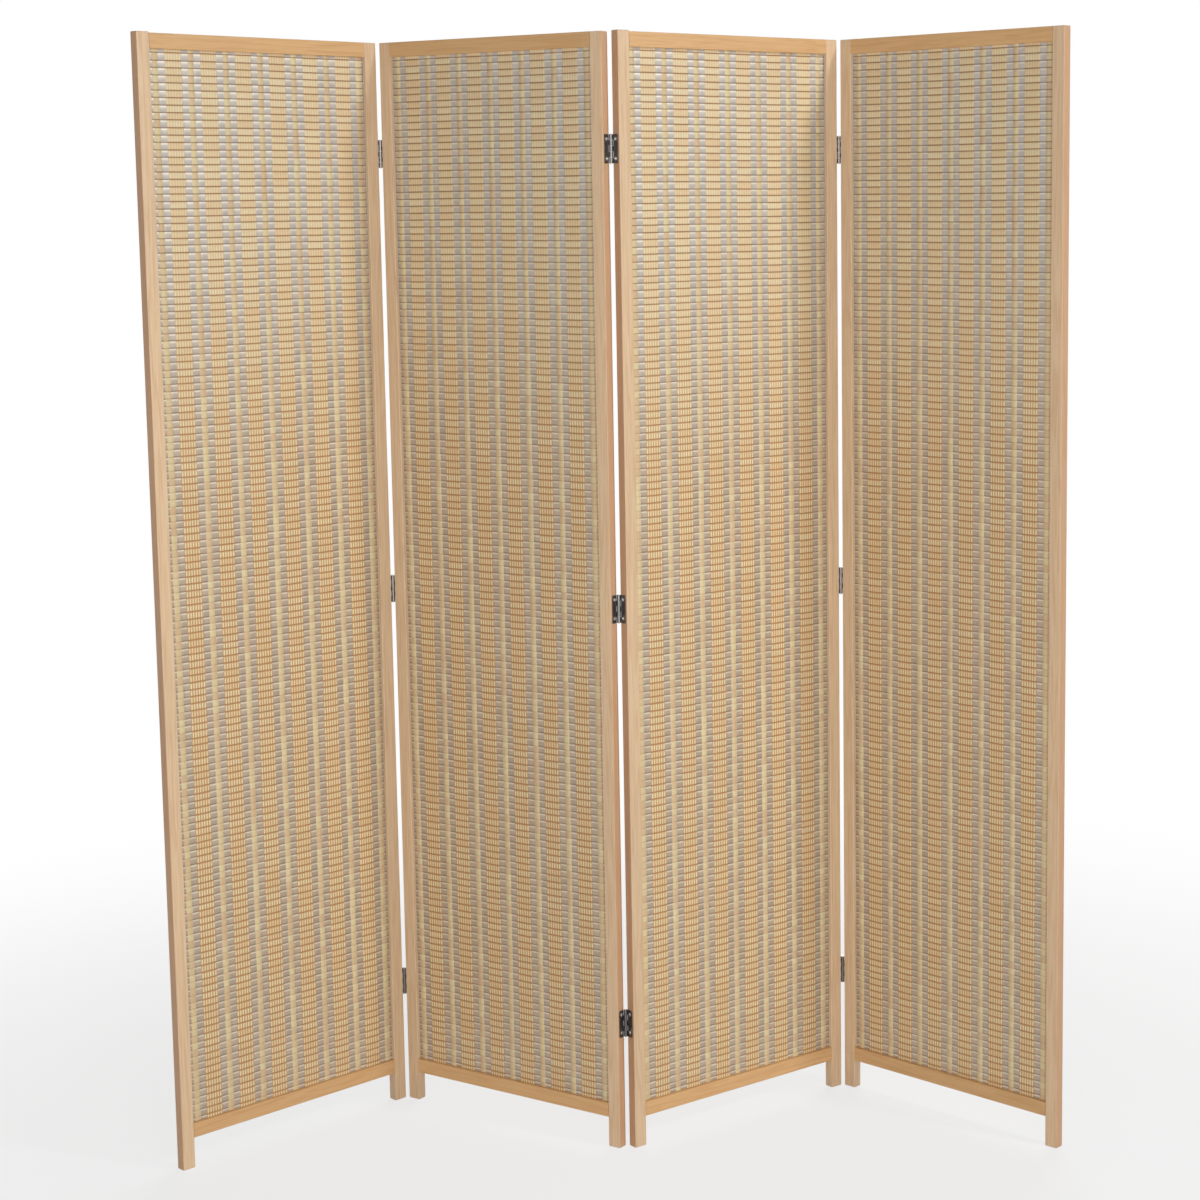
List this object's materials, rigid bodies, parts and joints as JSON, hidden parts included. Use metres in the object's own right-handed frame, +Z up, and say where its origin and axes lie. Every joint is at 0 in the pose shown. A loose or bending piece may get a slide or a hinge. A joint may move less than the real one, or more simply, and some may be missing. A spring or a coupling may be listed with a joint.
{
  "type": "folding screen",
  "caption": "Free-standing folding screen: slim pine frames round woven mats, joined edge to edge by butt hinges so that they stand in a zigzag and fold flat.",
  "frame": {"origin": "on the floor, at the middle of the space that the screen takes up in its zigzag stance", "axes": "+Z up along the stiles, +X from the first panel's free end to the last panel's free end, +Y from the front faces to the rear"},
  "size_m": [1.2748, 0.2934, 1.6015],
  "materials": {
    "pine_stile": "planed natural pine, satin",
    "pine_rail": "planed natural pine of a warmer tone, satin",
    "woven_mat": "matte plaited straw-coloured yarn with satin silver-grey stripes",
    "dowel_wood": "plain beech",
    "hinge_plate": "plated steel, satin",
    "hinge_pin": "plated steel, satin",
    "screw_steel": "bright zinc-plated steel"
  },
  "bodies": {
    "panel_1": {"panel_1_left_stile": "pine_stile", "panel_1_right_stile": "pine_stile", "panel_1_top_rail": "pine_rail", "panel_1_bottom_rail": "pine_rail", "panel_1_woven_mat": "woven_mat", "panel_1_dowels": "dowel_wood", "panel_1_hinge_screws": "screw_steel", "left_joint_lower_hinge_left_leaf": "hinge_plate", "left_joint_lower_hinge_pin": "hinge_pin", "left_joint_middle_hinge_left_leaf": "hinge_plate", "left_joint_middle_hinge_pin": "hinge_pin", "left_joint_upper_hinge_left_leaf": "hinge_plate", "left_joint_upper_hinge_pin": "hinge_pin"},
    "panel_2": {"panel_2_left_stile": "pine_stile", "panel_2_right_stile": "pine_stile", "panel_2_top_rail": "pine_rail", "panel_2_bottom_rail": "pine_rail", "panel_2_woven_mat": "woven_mat", "panel_2_dowels": "dowel_wood", "panel_2_hinge_screws": "screw_steel", "left_joint_lower_hinge_right_leaf": "hinge_plate", "left_joint_middle_hinge_right_leaf": "hinge_plate", "left_joint_upper_hinge_right_leaf": "hinge_plate", "centre_joint_lower_hinge_left_leaf": "hinge_plate", "centre_joint_lower_hinge_pin": "hinge_pin", "centre_joint_middle_hinge_left_leaf": "hinge_plate", "centre_joint_middle_hinge_pin": "hinge_pin", "centre_joint_upper_hinge_left_leaf": "hinge_plate", "centre_joint_upper_hinge_pin": "hinge_pin"},
    "panel_3": {"panel_3_left_stile": "pine_stile", "panel_3_right_stile": "pine_stile", "panel_3_top_rail": "pine_rail", "panel_3_bottom_rail": "pine_rail", "panel_3_woven_mat": "woven_mat", "panel_3_dowels": "dowel_wood", "panel_3_hinge_screws": "screw_steel", "centre_joint_lower_hinge_right_leaf": "hinge_plate", "centre_joint_middle_hinge_right_leaf": "hinge_plate", "centre_joint_upper_hinge_right_leaf": "hinge_plate", "right_joint_lower_hinge_left_leaf": "hinge_plate", "right_joint_lower_hinge_pin": "hinge_pin", "right_joint_middle_hinge_left_leaf": "hinge_plate", "right_joint_middle_hinge_pin": "hinge_pin", "right_joint_upper_hinge_left_leaf": "hinge_plate", "right_joint_upper_hinge_pin": "hinge_pin"},
    "panel_4": {"panel_4_left_stile": "pine_stile", "panel_4_right_stile": "pine_stile", "panel_4_top_rail": "pine_rail", "panel_4_bottom_rail": "pine_rail", "panel_4_woven_mat": "woven_mat", "panel_4_dowels": "dowel_wood", "panel_4_hinge_screws": "screw_steel", "right_joint_lower_hinge_right_leaf": "hinge_plate", "right_joint_middle_hinge_right_leaf": "hinge_plate", "right_joint_upper_hinge_right_leaf": "hinge_plate"}
  },
  "joints": [
    {"name": "left_hinges", "type": "hinge", "parent": "panel_2", "child": "panel_1", "pos_m": [-0.33371, 0.12813, 0.795], "axis": [0, 0, 1], "range_deg": [-78.5, 101.5]},
    {"name": "centre_hinges", "type": "hinge", "parent": "panel_2", "child": "panel_3", "pos_m": [0.0065, -0.0931, 0.795], "axis": [0, 0, 1], "range_deg": [-72, 108]},
    {"name": "right_hinges", "type": "hinge", "parent": "panel_3", "child": "panel_4", "pos_m": [0.34116, 0.13644, 0.795], "axis": [0, 0, 1], "range_deg": [-98.5, 81.5]}
  ]
}
